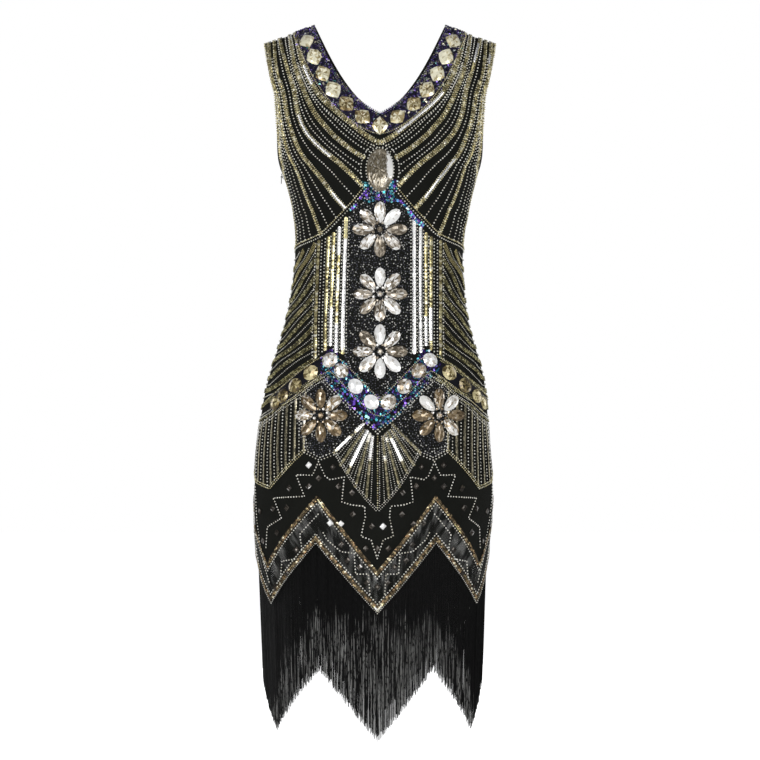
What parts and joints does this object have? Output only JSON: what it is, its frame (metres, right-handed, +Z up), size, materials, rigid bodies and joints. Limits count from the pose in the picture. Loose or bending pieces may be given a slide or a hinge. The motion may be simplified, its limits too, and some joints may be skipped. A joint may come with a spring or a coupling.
{
  "type": "flapper dress",
  "caption": "Sleeveless beaded 1920s-style flapper dress with a V neck, stone flowers, a pointed hem and long fringe, filled out as worn with nobody in it.",
  "frame": {"origin": "midway between the two shoulder seams, level with their inner ends at the neck, where the wearer holds the dress up", "axes": "+Z up, +Y towards the wearer's back, +X towards the wearer's left as the front is worn facing -Y"},
  "size_m": [0.3479, 0.2289, 1.0127],
  "materials": {
    "net": "black net over lining, beaded",
    "beads": "gold beads and violet sequins with champagne stones",
    "stones": "cut champagne stones",
    "thread": "black twisted thread",
    "zip_cloth": "black woven tape with a nylon coil",
    "zip_metal": "black painted"
  },
  "bodies": {
    "dress": {"front_panel": "net", "back_panel": "net", "neck_band_front": "beads", "neck_band_back": "beads", "hip_band_front": "beads", "hip_band_back": "beads", "medallion_front": "stones", "medallion_back": "stones", "flower_front_1": "stones", "flower_front_2": "stones", "flower_front_3": "stones", "flower_front_4": "stones", "flower_front_5": "stones", "flower_back_1": "stones", "flower_back_2": "stones", "flower_back_3": "stones", "flower_back_4": "stones", "flower_back_5": "stones", "fringe_front": "thread", "fringe_back": "thread", "zip_tape": "zip_cloth", "zip_slider": "zip_metal"},
    "pull_tab": {"zip_pull": "zip_metal"}
  },
  "joints": [
    {"name": "pull_tab_hinge", "type": "hinge", "parent": "dress", "child": "pull_tab", "pos_m": [-0.14296, 0, -0.21751], "axis": [0, 1, 0], "range_deg": [-20, 150]}
  ]
}
